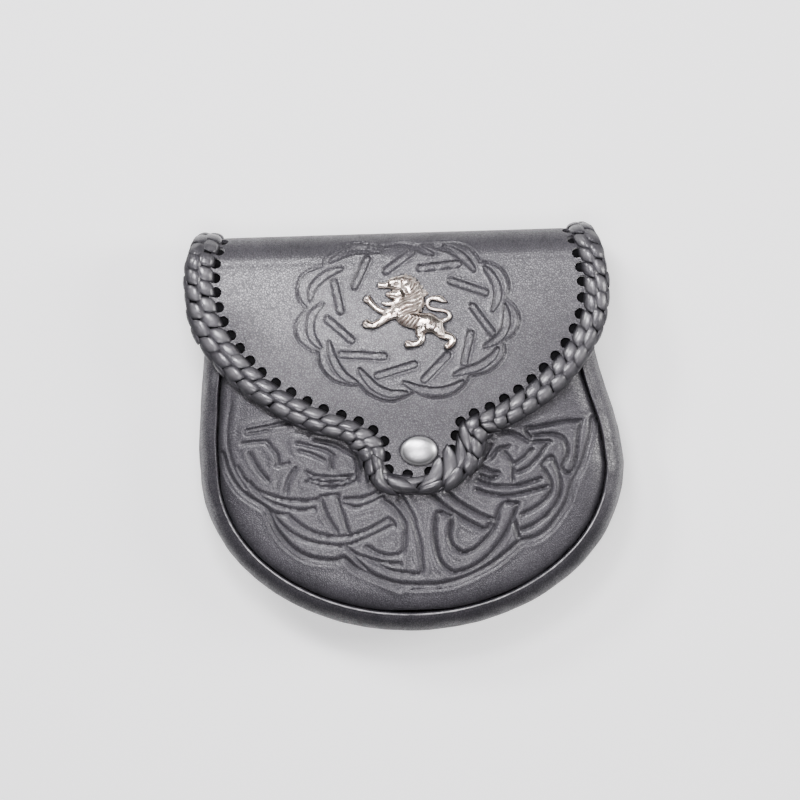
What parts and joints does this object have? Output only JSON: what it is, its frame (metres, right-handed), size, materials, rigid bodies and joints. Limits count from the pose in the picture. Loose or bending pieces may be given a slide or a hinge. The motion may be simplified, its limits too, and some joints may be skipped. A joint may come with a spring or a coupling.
{
  "type": "sporran pouch",
  "caption": "Rounded leather belt pouch with a domed front, side gusset, folded flap edged in braided lace, cast lion badge and snap, lying on its back.",
  "frame": {"origin": "middle of the bounding box's base, on the surface that the pouch lies on", "axes": "+Z out of the pouch's front, +Y towards the fold over its top, +X to the right of a viewer who faces the front"},
  "size_m": [0.1808, 0.169, 0.0461],
  "materials": {
    "body_leather": "smooth black veg-tanned leather with a fine grain and satin sheen, embossed",
    "panel_leather": "smooth black leather, embossed, slightly duller than the flap",
    "gusset_leather": "softer black leather with a creased grain",
    "lace_leather": "glossy black flat lace, braided",
    "antique_silver": "cast antique silver, bright on the high parts and brown in the hollows",
    "satin_nickel": "satin nickel"
  },
  "bodies": {
    "root": {"back_and_flap": "body_leather", "front_panel": "panel_leather", "gusset": "gusset_leather", "edge_lacing": "lace_leather", "lion_badge": "antique_silver", "snap_cap": "satin_nickel", "snap_stud": "satin_nickel", "belt_carrier": "gusset_leather"}
  },
  "joints": []
}
